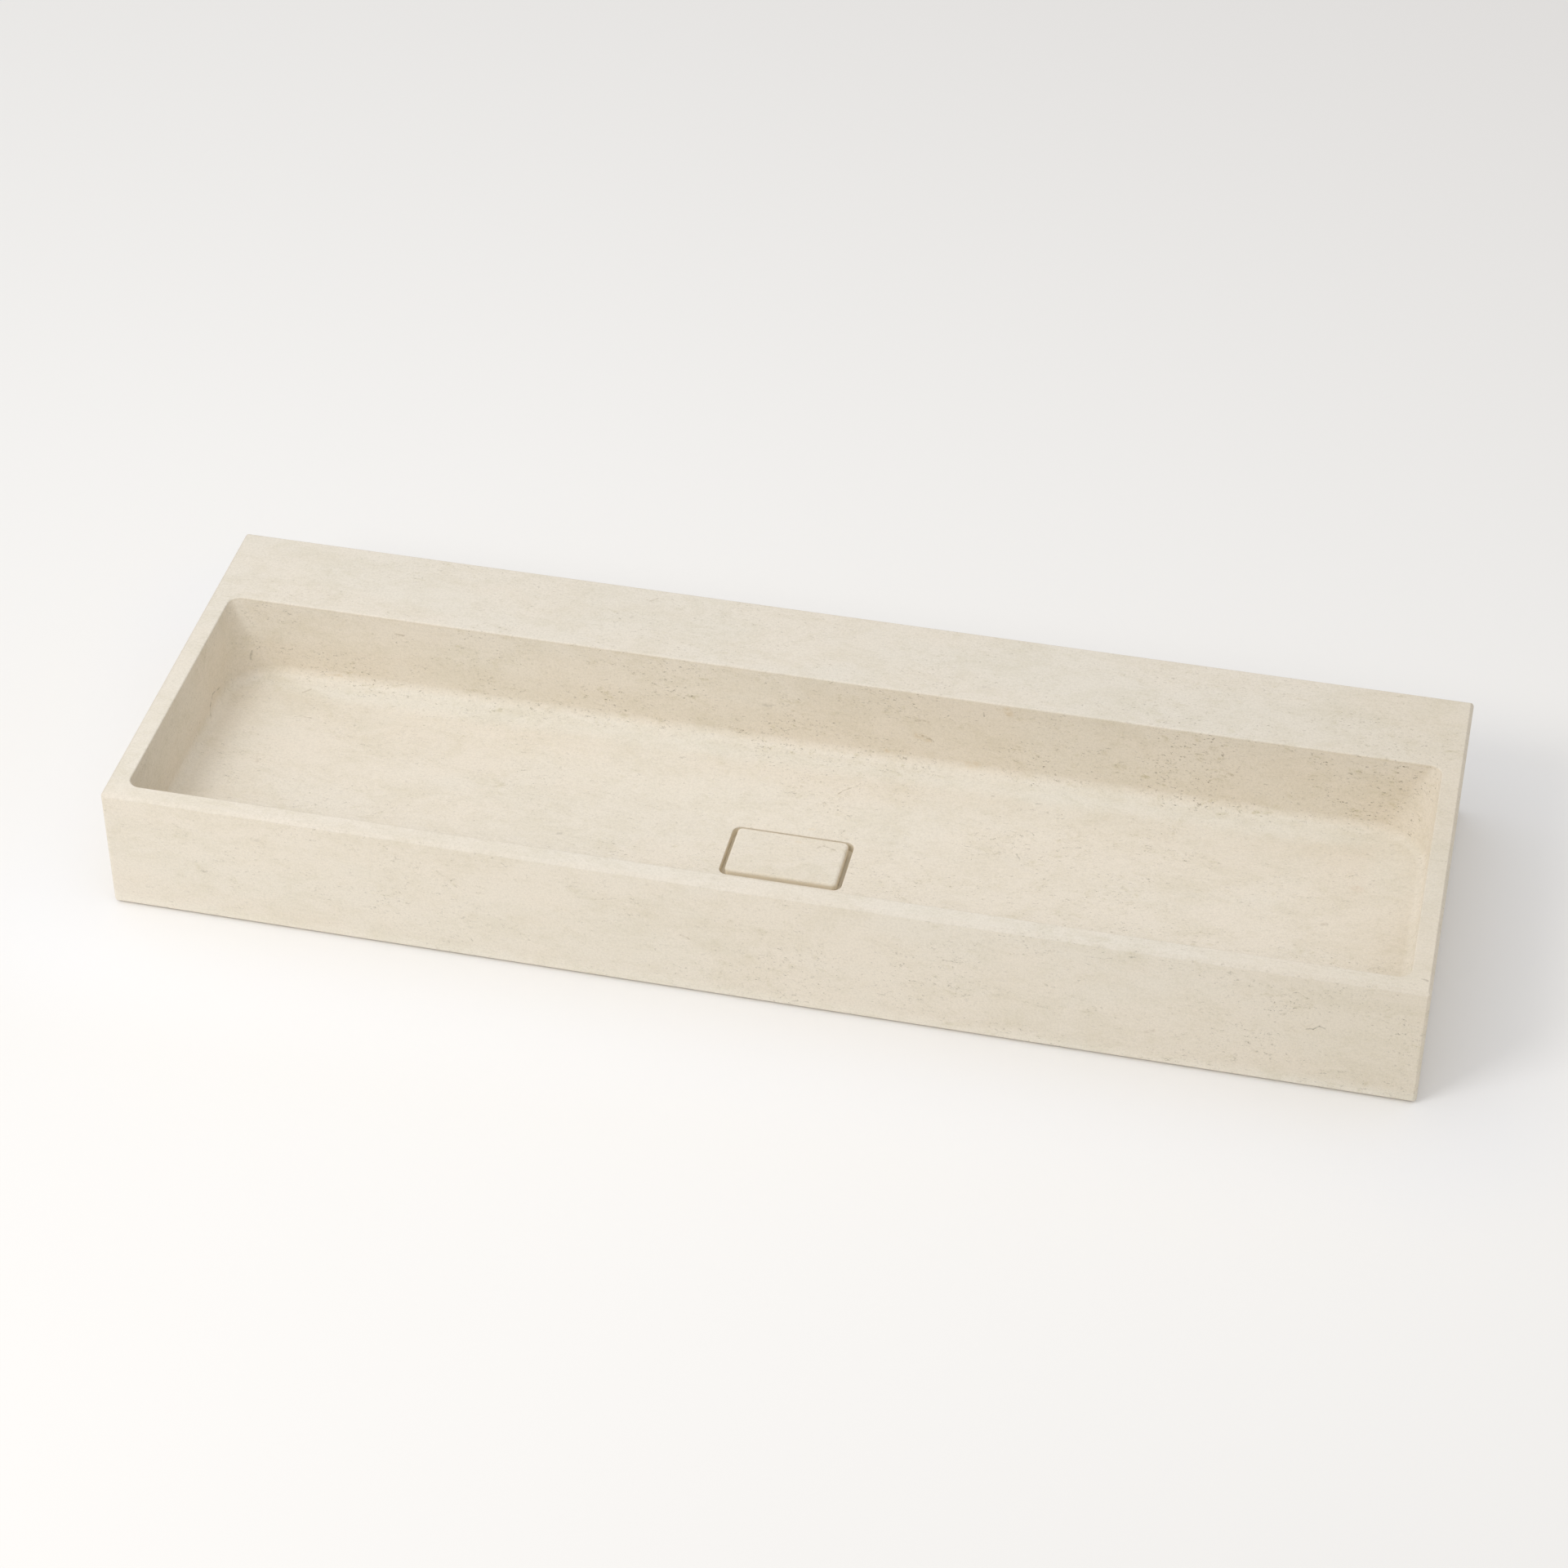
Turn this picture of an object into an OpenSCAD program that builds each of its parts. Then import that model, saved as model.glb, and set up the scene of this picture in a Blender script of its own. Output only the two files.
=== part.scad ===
// Stone trough sink with a lift-off drain cover, a clamped waste and wall anchors.
// The origin is the middle of the base. X runs along the trough, the front faces -Y, and Z is up.

/* [Block] */
// Length of the stone block
body_l = 1219; // [900:1:1600]
// Depth of the block from front to back
body_d = 419; // [360:1:520]
// Height of the block
body_h = 133; // [115:1:200]
// Flat chamfer along the upright and the upper edges
edge_chamfer = 3; // [1:0.5:6]
// Flat chamfer along the four edges of the base
base_chamfer = 4.5; // [1:0.5:6]

/* [Trough] */
// Width of the front rim
front_rim_w = 18; // [14:0.5:60]
// Width of each end rim
end_rim_w = 20; // [14:0.5:80]
// Width of the solid deck behind the trough
deck_w = 104.5; // [80:0.5:140]
// Fall of the floor from the walls to the drain
floor_fall = 13.5; // [4:0.5:22]
// Radius of the trough's upright corners at the rim
rim_corner_r = 12; // [6:0.5:24]
// Radius that those corners widen to at the foot of the walls
floor_corner_r = 50; // [30:1:80]
// Radius of the cove between walls and floor
floor_cove_r = 11; // [5:0.5:20]
// Small bevel along the trough's rim
rim_bevel = 1.2; // [0.4:0.2:3]

/* [Drain pocket] */
// Length of the pocket that holds the cover
pocket_l = 117; // [100:1:180]
// Width of the pocket from front to back
pocket_d = 70; // [68:0.5:120]
// Depth of the pocket below the floor's lowest line
pocket_depth = 10; // [6:0.5:16]
// Radius of the pocket's upright corners
pocket_corner_r = 8; // [3:0.5:14]

/* [Drain cover] */
// Water gap at each end of the cover
cover_gap_ends = 5; // [2:0.25:9]
// Water gap at the front and the back of the cover
cover_gap_sides = 3.75; // [2:0.25:8]
// Thickness of the cover
cover_t = 10; // [8:0.5:16]
// Radius of the cover's upright corners
cover_corner_r = 5; // [4:0.5:10]
// Rounding along the cover's top edge
cover_round_r = 3; // [1:0.25:3.5]
// Distance from the cover's edges to the middle of each foot
foot_inset = 10; // [8:0.5:13]
// Diameter of each rubber foot
foot_dia = 10; // [8:0.5:14]
// Height of each foot, which is the water way under the cover
foot_h = 3; // [2:0.25:6]
// Diameter of the stud that holds each foot in the cover
foot_stud_dia = 6; // [4:0.5:7]
// Length of that stud
foot_stud_h = 4; // [3:0.5:6]

/* [Waste] */
// Stone left on the pocket's floor in front of the flange's seat and behind it
seat_margin = 3; // [1:0.5:6]
// Thickness of the flange
flange_t = 2; // [1.6:0.1:3]
// Thickness of the foam ring under the flange
flange_gasket_t = 1; // [0.5:0.1:2]
// Outside diameter of the waste's thread
thread_dia = 41.9; // [40:0.1:42.5]
// Distance from one thread crest to the next
thread_pitch = 2.31; // [1.5:0.01:3]
// Depth of the thread
thread_depth = 1.2; // [0.5:0.1:1.5]
// Thickness of the waste's wall inside the thread's roots
waste_wall_t = 3.75; // [2.75:0.05:6]
// Width of the ledge inside the flange that the grid's edge rests on
grid_ledge_w = 3; // [1.5:0.1:5]
// Thickness of the strainer grid
grid_t = 1; // [0.6:0.1:1.2]
// Diameter of each hole in the grid
grid_hole_dia = 4.5; // [3:0.25:5]
// Number of holes in the grid's inner ring
inner_hole_count = 8; // [5:1:9]
// Number of holes in the grid's outer ring
outer_hole_count = 14; // [8:1:16]
// Metal between the outer holes and the edge of the throat below them
grid_edge_w = 1.15; // [0.4:0.05:2]
// Metal between the two rings of holes
grid_web_w = 1.1; // [0.6:0.05:1.5]
// Width of the two bars that cross the bore under the grid
bar_w = 3; // [2:0.5:5]
// Height of those bars
bar_h = 4; // [3:0.5:5]
// Diameter of the boss where they cross
boss_dia = 9; // [8:0.5:12]
// Diameter of the grid's screw
screw_dia = 4.9; // [3:0.1:6]
// Length of the screw below its head
screw_l = 6; // [5:0.5:6.5]
// Diameter of the screw's head
screw_head_dia = 9; // [7:0.5:11]
// Height of the screw's head
screw_head_h = 1.5; // [1:0.1:1.8]

/* [Underside] */
// Stone left between the waste's seat and the recess under it
web_t = 11; // [6:0.5:20]
// Diameter of the recess round the waste in the underside
recess_dia = 96; // [80:1:140]
// Outside diameter of the rubber ring under the stone
lower_gasket_dia = 60; // [55:0.5:70]
// Thickness of the rubber ring
lower_gasket_t = 2.5; // [1.5:0.1:3.5]
// Outside diameter of the friction washer
washer_dia = 58; // [52:0.5:68]
// Thickness of the friction washer
washer_t = 1; // [0.5:0.1:1.5]
// Width across the flats of the lock nut
nut_flats = 55; // [50:0.5:65]
// Thickness of the lock nut
nut_t = 4.5; // [3:0.1:6]
// Gap between the nut's lower face and the plane of the base
nut_base_gap = 1; // [0.6:0.1:2]
// Gap between the waste's lower end and the plane of the base
waste_base_gap = 0.5; // [0.2:0.1:1.5]

/* [Wall anchors] */
// Distance between the left and right anchors
insert_pitch_x = 800; // [300:5:840]
// Distance between the lower and upper anchors
insert_pitch_z = 60; // [30:1:72]
// Height of the lower anchors above the base
insert_low_z = 36; // [20:1:48]
// Outside diameter of each anchor
insert_dia = 18; // [14:0.5:22]
// Length of each anchor
insert_l = 50; // [30:1:60]
// Diameter of the threaded bore in each anchor
insert_bore_dia = 10.2; // [6.8:0.1:10.5]
// Thickness of each anchor's closed end
insert_end_t = 10; // [4:1:20]

/* [Clearances] */
// Gap between the thread and the hole through the stone
hole_gap = 1.55; // [0.5:0.05:3]
// Gap round the flange in its seat
seat_gap = 0.5; // [0.2:0.1:1]
// Gap between the thread and each ring on it
ring_gap = 0.1; // [0.05:0.05:0.4]
// Gap round the grid in its recess
grid_gap = 0.2; // [0.1:0.05:0.4]
// Gap round the screw in the boss and the grid
screw_gap = 0.05; // [0.02:0.01:0.2]
// Gap round each foot's stud in the cover
stud_gap = 0.05; // [0.02:0.01:0.2]
// Resin layer round each anchor
resin_gap = 0.15; // [0.1:0.05:0.5]
// How far each anchor lies below the rear face
insert_setback = 0.5; // [0.2:0.1:2]

/* [Hidden] */

// How far a cutting shape runs past the face that it opens
over = 1;
// Thickness of the thin outlines that a hull joins
leaf = 0.01;
// Turn from one step of a cove or a rounding to the next
turn_step = 15;
// Segments in a full circle, for exact curves and for the outlines in a hull
round_fn = 96;
hull_fn = 32;
$fn = round_fn;

// The trough's outline lies between the rims and the deck
trough_l = body_l - 2 * end_rim_w;
trough_d = body_d - front_rim_w - deck_w;
trough_y = (front_rim_w - deck_w) / 2;

// Levels through the drain, from the base up. The trough is as deep as the block's height leaves it
washer_z = nut_base_gap + nut_t;
lower_gasket_z = washer_z + washer_t;
recess_depth = lower_gasket_z + lower_gasket_t;
seat_z = recess_depth + web_t;
flange_z = seat_z + flange_gasket_t;
pocket_floor_z = flange_z + flange_t;
grid_z = pocket_floor_z - grid_t;
pocket_rim_z = pocket_floor_z + pocket_depth;
wall_foot_z = pocket_rim_z + floor_fall + floor_cove_r;
corner_growth = (floor_corner_r - rim_corner_r) / (body_h - wall_foot_z);

// The cover stands on its feet on the pocket's floor
cover_l = pocket_l - 2 * cover_gap_ends;
cover_d = pocket_d - 2 * cover_gap_sides;
cover_z = pocket_floor_z + foot_h;
cover_top_z = cover_z + cover_t;
foot_edge = 0.4;

// Round the waste
seat_dia = pocket_d - 2 * seat_margin;
flange_dia = seat_dia - 2 * seat_gap;
waste_hole_dia = thread_dia + 2 * hole_gap;
flange_edge = 0.6;

// Inside the waste
thread_r = thread_dia / 2;
bore_r = thread_r - thread_depth - waste_wall_t;
throat_step = 2;
throat_r = bore_r + throat_step;
throat_depth = 6;
bar_end = 0.5;
grid_dia = 2 * (throat_r + grid_ledge_w);
shelf_r = grid_dia / 2 + grid_gap;
outer_hole_ring_r = throat_r - grid_edge_w - grid_hole_dia / 2;
inner_hole_ring_r = outer_hole_ring_r - grid_hole_dia - grid_web_w;
screw_slot_w = 1.2;
screw_head_bevel = 0.7;
nut_corner_r = nut_flats / 2 / cos(30);
nut_bevel = 1;

// Along each anchor
insert_rib_l = 6;
insert_rib_depth = 0.8;

stone = [0.90, 0.86, 0.79];
rubber = [0.16, 0.16, 0.17];
chrome = [0.80, 0.81, 0.83];
steel = [0.70, 0.71, 0.72];
brass = [0.78, 0.62, 0.32];
foam = [0.86, 0.86, 0.84];

// A rectangle with round corners, in a plane
module outline(l, d, r) {
    square([l - 2 * r, d], center = true);
    square([l, d - 2 * r], center = true);
    for (sx = [-1, 1], sy = [-1, 1])
        translate([sx * (l / 2 - r), sy * (d / 2 - r)]) circle(r);
}

// The same outline as a thin leaf at height z, for a hull to join
module slice(z, l, d, r) {
    translate([0, 0, z]) linear_extrude(leaf) outline(l, d, r, $fn = hull_fn);
}

// A leaf of the trough at height z, drawn in from its walls
module trough_slice(z, inset, r) {
    slice(z, trough_l - 2 * inset, trough_d - 2 * inset, r);
}

// A rectangle with its corners cut at 45 degrees, by low at the bottom and by high at the top
module cut_rect(w, h, low, high) {
    polygon([[-w / 2 + low, -h / 2], [w / 2 - low, -h / 2], [w / 2, -h / 2 + low], [w / 2, h / 2 - high],
             [w / 2 - high, h / 2], [-w / 2 + high, h / 2], [-w / 2, h / 2 - high], [-w / 2, -h / 2 + low]]);
}

// The block with a chamfer on all twelve edges
module block() {
    intersection() {
        linear_extrude(body_h) cut_rect(body_l, body_d, edge_chamfer, edge_chamfer);
        translate([0, body_d / 2, body_h / 2]) rotate([90, 0, 0])
            linear_extrude(body_d) cut_rect(body_l, body_h, base_chamfer, edge_chamfer);
        translate([-body_l / 2, 0, body_h / 2]) rotate([90, 0, 90])
            linear_extrude(body_l) cut_rect(body_d, body_h, base_chamfer, edge_chamfer);
    }
}

// The hollow: upright walls, corners that widen downwards, a cove and a floor that falls to the pocket
module trough_space() {
    hull() {
        trough_slice(body_h + over, 0, rim_corner_r - corner_growth * over);
        trough_slice(wall_foot_z, 0, floor_corner_r);
        for (a = [turn_step : turn_step : 90])
            trough_slice(wall_foot_z - floor_cove_r * sin(a), floor_cove_r * (1 - cos(a)),
                         floor_corner_r - floor_cove_r * (1 - cos(a)));
        slice(pocket_rim_z, pocket_l, pocket_d, pocket_corner_r);
    }
    hull() {
        trough_slice(body_h - rim_bevel, 0, rim_corner_r);
        trough_slice(body_h + over, -rim_bevel - over, rim_corner_r + rim_bevel + over);
    }
}

module drain_pocket() {
    translate([0, 0, pocket_floor_z])
        linear_extrude(pocket_depth + over) outline(pocket_l, pocket_d, pocket_corner_r);
    translate([0, 0, seat_z]) cylinder(d = seat_dia, h = pocket_floor_z - seat_z + over);
    translate([0, 0, -over]) cylinder(d = waste_hole_dia, h = body_h);
    translate([0, 0, -over]) cylinder(d = recess_dia, h = recess_depth + over);
}

// Puts its children at each of the four wall anchors, with Z along the anchor into the stone
module at_inserts() {
    for (sx = [-1, 1], z = [insert_low_z, insert_low_z + insert_pitch_z])
        translate([sx * insert_pitch_x / 2, body_d / 2, z]) rotate([90, 0, 0]) children();
}

module basin() {
    color(stone) difference() {
        block();
        translate([0, trough_y, 0]) {
            trough_space();
            drain_pocket();
        }
        at_inserts() translate([0, 0, -over])
            cylinder(d = insert_dia + 2 * resin_gap, h = insert_setback + insert_l + over);
    }
}

// Puts its children at each of the cover's four feet, on the pocket's floor
module at_feet() {
    for (sx = [-1, 1], sy = [-1, 1])
        translate([sx * (cover_l / 2 - foot_inset), trough_y + sy * (cover_d / 2 - foot_inset),
                   pocket_floor_z]) children();
}

// One upright corner of the cover, from its small foot edge to its rounded top edge
module cover_corner() {
    rotate_extrude($fn = hull_fn) polygon(concat(
        [[0, cover_z], [cover_corner_r - foot_edge, cover_z], [cover_corner_r, cover_z + foot_edge]],
        [for (a = [0 : turn_step : 90])
            [cover_corner_r - cover_round_r * (1 - cos(a)), cover_top_z - cover_round_r * (1 - sin(a))]],
        [[0, cover_top_z]]));
}

module drain_cover() {
    color(stone) difference() {
        translate([0, trough_y, 0]) hull() {
            for (sx = [-1, 1], sy = [-1, 1])
                translate([sx * (cover_l / 2 - cover_corner_r), sy * (cover_d / 2 - cover_corner_r), 0])
                    cover_corner();
        }
        at_feet() cylinder(d = foot_stud_dia + 2 * stud_gap, h = foot_h + foot_stud_h + stud_gap);
    }
}

module cover_feet() {
    color(rubber) at_feet() {
        cylinder(d1 = foot_dia - 2 * foot_edge, d2 = foot_dia, h = foot_edge);
        translate([0, 0, foot_edge]) cylinder(d = foot_dia, h = foot_h - foot_edge);
        cylinder(d = foot_stud_dia, h = foot_h + foot_stud_h);
    }
}

// One ring of water holes, to be cut from the grid
module hole_ring(count, ring_r) {
    for (k = [1 : count]) rotate(360 * k / count) translate([ring_r, 0, -over])
        cylinder(d = grid_hole_dia, h = grid_t + 2 * over);
}

// Flat plate with a hole for the screw and two rings of water holes
module strainer_grid() {
    color(steel) translate([0, trough_y, grid_z]) difference() {
        cylinder(d = grid_dia, h = grid_t);
        translate([0, 0, -over]) cylinder(d = screw_dia + 2 * screw_gap, h = grid_t + 2 * over);
        hole_ring(inner_hole_count, inner_hole_ring_r);
        hole_ring(outer_hole_count, outer_hole_ring_r);
    }
}

module grid_screw() {
    color(steel) translate([0, trough_y, pocket_floor_z]) difference() {
        union() {
            translate([0, 0, -screw_l]) cylinder(d = screw_dia, h = screw_l);
            cylinder(d = screw_head_dia, h = screw_head_h - screw_head_bevel);
            translate([0, 0, screw_head_h - screw_head_bevel])
                cylinder(d1 = screw_head_dia, d2 = screw_head_dia - 2 * screw_head_bevel,
                         h = screw_head_bevel);
        }
        translate([-screw_head_dia, -screw_slot_w / 2, screw_head_h / 2])
            cube([2 * screw_head_dia, screw_slot_w, screw_head_h]);
    }
}

// Crests and roots of the thread as rings, from height z0 up
function thread_points(z0, count) =
    [for (k = [0 : count - 1], p = [[0, 0], [thread_depth, 0.5]])
        [thread_r - p[0], z0 + (k + p[1]) * thread_pitch]];

// Half of the waste's wall, turned round the Z axis
module waste_wall() {
    threads = floor((flange_z - waste_base_gap) / thread_pitch) - 1;
    outside = concat(thread_points(waste_base_gap + thread_pitch / 2, threads), [
        [thread_r, waste_base_gap + (threads + 0.5) * thread_pitch],
        [thread_r, flange_z],
        [flange_dia / 2, flange_z],
        [flange_dia / 2, pocket_floor_z - flange_edge],
        [flange_dia / 2 - flange_edge, pocket_floor_z],
        [shelf_r, pocket_floor_z]]);
    inside = [
        [shelf_r, grid_z],
        [throat_r, grid_z],
        [throat_r, grid_z - throat_depth + throat_step],
        [bore_r, grid_z - throat_depth],
        [bore_r, waste_base_gap],
        [thread_r - thread_depth / 2, waste_base_gap]];
    rotate_extrude() polygon(concat(outside, inside));
}

// The wall, the two bars that carry the grid, and the boss for its screw
module waste_body() {
    color(chrome) translate([0, trough_y, 0]) difference() {
        union() {
            waste_wall();
            intersection() {
                translate([0, 0, grid_z - bar_h]) cylinder(r = throat_r + bar_end, h = bar_h);
                for (a = [0, 90]) rotate(a) translate([-throat_r - over, -bar_w / 2, 0])
                    cube([2 * (throat_r + over), bar_w, body_h]);
            }
            translate([0, 0, grid_z - bar_h]) cylinder(d = boss_dia, h = bar_h);
        }
        translate([0, 0, grid_z - bar_h - over])
            cylinder(d = screw_dia + 2 * screw_gap, h = bar_h + 2 * over);
    }
}

// A flat ring on the waste's axis
module ring(z, outer_dia, inner_dia, t) {
    translate([0, trough_y, z]) difference() {
        cylinder(d = outer_dia, h = t);
        translate([0, 0, -over]) cylinder(d = inner_dia, h = t + 2 * over);
    }
}

module flange_gasket() {
    color(foam) ring(seat_z, flange_dia, waste_hole_dia, flange_gasket_t);
}

module lower_gasket() {
    color(rubber) ring(lower_gasket_z, lower_gasket_dia, thread_dia + 2 * ring_gap, lower_gasket_t);
}

module friction_washer() {
    color(foam) ring(washer_z, washer_dia, thread_dia + 2 * ring_gap, washer_t);
}

// Hexagon nut with its corners bevelled on both faces
module lock_nut() {
    color(brass) translate([0, trough_y, nut_base_gap]) difference() {
        intersection() {
            cylinder(r = nut_corner_r, h = nut_t, $fn = 6);
            rotate_extrude() polygon([[0, 0], [nut_corner_r - 2 * nut_bevel, 0], [nut_corner_r, nut_bevel],
                [nut_corner_r, nut_t - nut_bevel], [nut_corner_r - 2 * nut_bevel, nut_t], [0, nut_t]]);
        }
        translate([0, 0, -over]) cylinder(d = thread_dia + 2 * ring_gap, h = nut_t + 2 * over);
    }
}

// Four ribbed sleeves with blind threaded bores
module wall_inserts() {
    ribs = floor(insert_l / (2 * insert_rib_l));
    color(steel) at_inserts() translate([0, 0, insert_setback]) difference() {
        cylinder(d = insert_dia, h = insert_l);
        for (k = [1 : ribs]) translate([0, 0, (2 * k - 1) * insert_rib_l]) difference() {
            cylinder(d = insert_dia + over, h = insert_rib_l);
            cylinder(d = insert_dia - 2 * insert_rib_depth, h = insert_rib_l);
        }
        translate([0, 0, -over]) cylinder(d = insert_bore_dia, h = insert_l - insert_end_t + over);
    }
}

basin();
drain_cover();
cover_feet();
strainer_grid();
grid_screw();
waste_body();
flange_gasket();
lower_gasket();
friction_washer();
lock_nut();
wall_inserts();
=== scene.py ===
import math

import bmesh
import bpy
from mathutils import Matrix, Vector
from mathutils.geometry import tessellate_polygon


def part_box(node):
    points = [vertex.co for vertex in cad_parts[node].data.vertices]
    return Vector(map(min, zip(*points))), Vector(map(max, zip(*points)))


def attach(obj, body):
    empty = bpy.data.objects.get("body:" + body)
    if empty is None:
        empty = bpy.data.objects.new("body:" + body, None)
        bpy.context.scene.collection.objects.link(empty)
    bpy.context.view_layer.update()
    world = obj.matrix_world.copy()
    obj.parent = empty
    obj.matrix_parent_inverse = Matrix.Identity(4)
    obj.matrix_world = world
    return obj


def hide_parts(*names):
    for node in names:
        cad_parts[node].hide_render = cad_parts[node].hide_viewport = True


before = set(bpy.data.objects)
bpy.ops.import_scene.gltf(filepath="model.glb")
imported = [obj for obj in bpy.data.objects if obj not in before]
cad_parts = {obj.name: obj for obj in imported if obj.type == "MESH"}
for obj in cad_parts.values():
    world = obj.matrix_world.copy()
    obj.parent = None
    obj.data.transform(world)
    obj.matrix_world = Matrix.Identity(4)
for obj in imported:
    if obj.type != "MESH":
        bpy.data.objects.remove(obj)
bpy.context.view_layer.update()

# Stone trough sink: cream limestone, a floor that falls to a covered drain, on a pale studio floor.
# The frame gives the outer sizes of the block and the cover. All the other sizes are named below, in metres.

MM = 0.001
QUARTER_TURN = math.radians(90)

# ---------------------------------------------------------------- sizes

block_low, block_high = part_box("basin")
cover_low, cover_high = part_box("drain_cover")

# The block
BODY_L = block_high.x - block_low.x
BODY_D = block_high.y - block_low.y
BODY_H = block_high.z - block_low.z
EDGE_CHAMFER = 3 * MM
BASE_CHAMFER = 4.5 * MM
EDGE_SOFTNESS = 0.6 * MM
EDGE_STEPS = 3
SAME_PLANE_ANGLE = math.radians(1)
SAME_FACING = 0.999

# The trough: half its length, half its depth, its middle and its rear wall come from the rims
FRONT_RIM_W = 18 * MM
END_RIM_W = 20 * MM
DECK_W = 104.5 * MM
RIM_ROUND = 1.5 * MM
RIM_CORNER_R = 12 * MM
FLOOR_CORNER_R = 50 * MM
COVE_R = 11 * MM
FLOOR_FALL = 13.5 * MM
TROUGH_A = BODY_L / 2 - END_RIM_W
TROUGH_B = (BODY_D - FRONT_RIM_W - DECK_W) / 2
TROUGH_Y = (FRONT_RIM_W - DECK_W) / 2
REAR_WALL_Y = TROUGH_Y + TROUGH_B

# The cover, which stands on feet in a pocket of the trough's floor, with a gap all round
COVER_L = cover_high.x - cover_low.x
COVER_D = cover_high.y - cover_low.y
COVER_CORNER_R = 5 * MM
COVER_ROUND = 3 * MM
COVER_FOOT_EDGE = 0.4 * MM
STUD_INSET = 10 * MM
STUD_HOLE_R = 3.05 * MM
STUD_HOLE_DEPTH = 4.05 * MM
FEET_H = 3 * MM
GAP_AT_ENDS = 5 * MM
GAP_AT_SIDES = 3.75 * MM

POCKET_L = COVER_L + 2 * GAP_AT_ENDS
POCKET_D = COVER_D + 2 * GAP_AT_SIDES
POCKET_DEPTH = 10 * MM
POCKET_FLOOR_Z = cover_low.z - FEET_H
POCKET_RIM_Z = POCKET_FLOOR_Z + POCKET_DEPTH
POCKET_CORNER_R = 8 * MM
POCKET_EDGE_ROUND = 0.9 * MM
POCKET_FOOT_ROUND = 0.8 * MM
WALL_FOOT_Z = POCKET_RIM_Z + FLOOR_FALL + COVE_R

# The drain through the stone: the seat of the flange, the hole, and the recess round the nut below
SEAT_R = 32 * MM
SEAT_DEPTH = 3 * MM
SEAT_Z = POCKET_FLOOR_Z - SEAT_DEPTH
WASTE_HOLE_R = 22.5 * MM
RECESS_R = 48 * MM
RECESS_ROOF_Z = 9 * MM
SMALL_EDGE = 0.5 * MM

# The holes of the wall anchors in the rear face
ANCHOR_X = 400 * MM
ANCHOR_Z = (36 * MM, 96 * MM)
ANCHOR_HOLE_R = 9.15 * MM
ANCHOR_HOLE_DEPTH = 50.5 * MM

# The mesh: steps at each corner and along each side of a ring, down the cove, and round small edges and
# holes, the even shape of a bevel, and the full weight that large faces get in the shading
CORNER_STEPS = 20
SIDE_STEPS = 12
COVE_STEPS = 14
ROUND_STEPS = 6
CIRCLE_STEPS = 96
EVEN_PROFILE = 0.5
AREA_WEIGHT = 100

# ---------------------------------------------------------------- camera, floor and light

# The camera, from the edges of the block and the trough in the photograph
CAMERA_AT = Vector((0.60953, -2.78649, 2.45348))
CAMERA_YAW = -0.2195
CAMERA_PITCH = 0.6924
CAMERA_ROLL = 0.0034
CAMERA_SENSOR_MM = 36
CAMERA_LENS_MM = 90.618
CAMERA_NEAREST = 0.05
CAMERA_FARTHEST = 60
HALF_PIXEL = 0.5 / 1920

# The studio floor, with painted light: palest behind the sink, greyer in front and far behind, and cooler
# next to the warm stone, against its warm bounce
FLOOR_HALF_SIZE = 15
FLOOR_NEAR = (0.802, 0.772, 0.722)
FLOOR_BEHIND_PAINTED_LIGHT = (0.906, 0.879, 0.828)
FLOOR_FAR = (0.766, 0.731, 0.689)
FLOOR_TURN = math.radians(66)
FLOOR_AWAY = Vector((math.cos(FLOOR_TURN), math.sin(FLOOR_TURN), 0))
FLOOR_NEAR_END = -1.35
FLOOR_PALEST = 0.24
FLOOR_FAR_END = 3.77
FLOOR_BESIDE_PAINTED_LIGHT = (0.870, 0.855, 0.833)
FLOOR_BESIDE_SHARE = 0.7
FLOOR_BESIDE_START = 0.05
FLOOR_BESIDE_REACH = 0.20
FLOOR_ROUGHNESS = 0.9

# The light: a soft lamp at the front left, and a surround of broad lobes, each with its aim and strength.
# Both are slightly cool.
LIGHT_TINT = (0.985, 1.0, 1.04)
KEY_TURN = math.radians(35)
KEY_RISE = math.radians(42)
KEY_DISTANCE = 2.6
KEY_AIM = Vector((0, 0, 0.07))
KEY_SIZE = 0.95
KEY_WATTS = 21
SKY_LOBES = [
    ((0, 0, 1), 0.94),
    ((-1, 0, 0), 0.54),
    ((1, 0, 0), 0.31),
    ((0, -1, 0), 0.21),
]

# ---------------------------------------------------------------- numbers of the limestone

# Its pale tints, and how strongly clay and dark grains show in them
STONE_COOL = (0.794, 0.724, 0.603)
STONE_WARM = (0.802, 0.723, 0.597)
STONE_CLAY = (0.430, 0.370, 0.170)
STONE_SPECK = (0.230, 0.190, 0.130)
STONE_BASE_SHADE = 0.03
STONE_CLOUDING = 0.62
STONE_SMUDGE = 0.30
STONE_GRIT = 0.45
STONE_GRIT_LEVEL = 0.6
STONE_FLECK = 0.62
STONE_FLECK_PIT = 0.5
STONE_DOT = 0.40
STONE_BED = (0.55, 1, 1)
STONE_RELIEF = 0.04 * MM
STONE_ROUGHNESS = (0.66, 0.76)
STONE_SPECULAR = 0.30
COVER_STONE_SHIFT = (0.31, 0.17, 0.05)

# Its noises: steps per metre, detail, roughness and distortion
TINT_NOISE = (11, 3, 0.6)
CLOUD_NOISE = (27, 4, 0.92, 0.4)
CLUSTER_NOISE = (18, 4, 0.8)
SMUDGE_NOISE = (110, 4, 0.8, 0.5)
FLECK_NOISE = (360, 3, 0.85, 0.3)
GRIT_NOISE = (420, 2, 0.9)
RELIEF_NOISE = (260, 4, 0.65)

# The noise levels between which each pattern comes in
TINT_LEVELS = (0.40, 0.60)
CLUSTER_LEVELS = (0.42, 0.64)
CLUSTER_SPARSEST = 0.25
SMUDGE_LEVELS = (0.53, 0.74)
FLECK_LEVELS = (0.56, 0.74)
MIDDLE_LEVELS = (0.3, 0.7)

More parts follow.
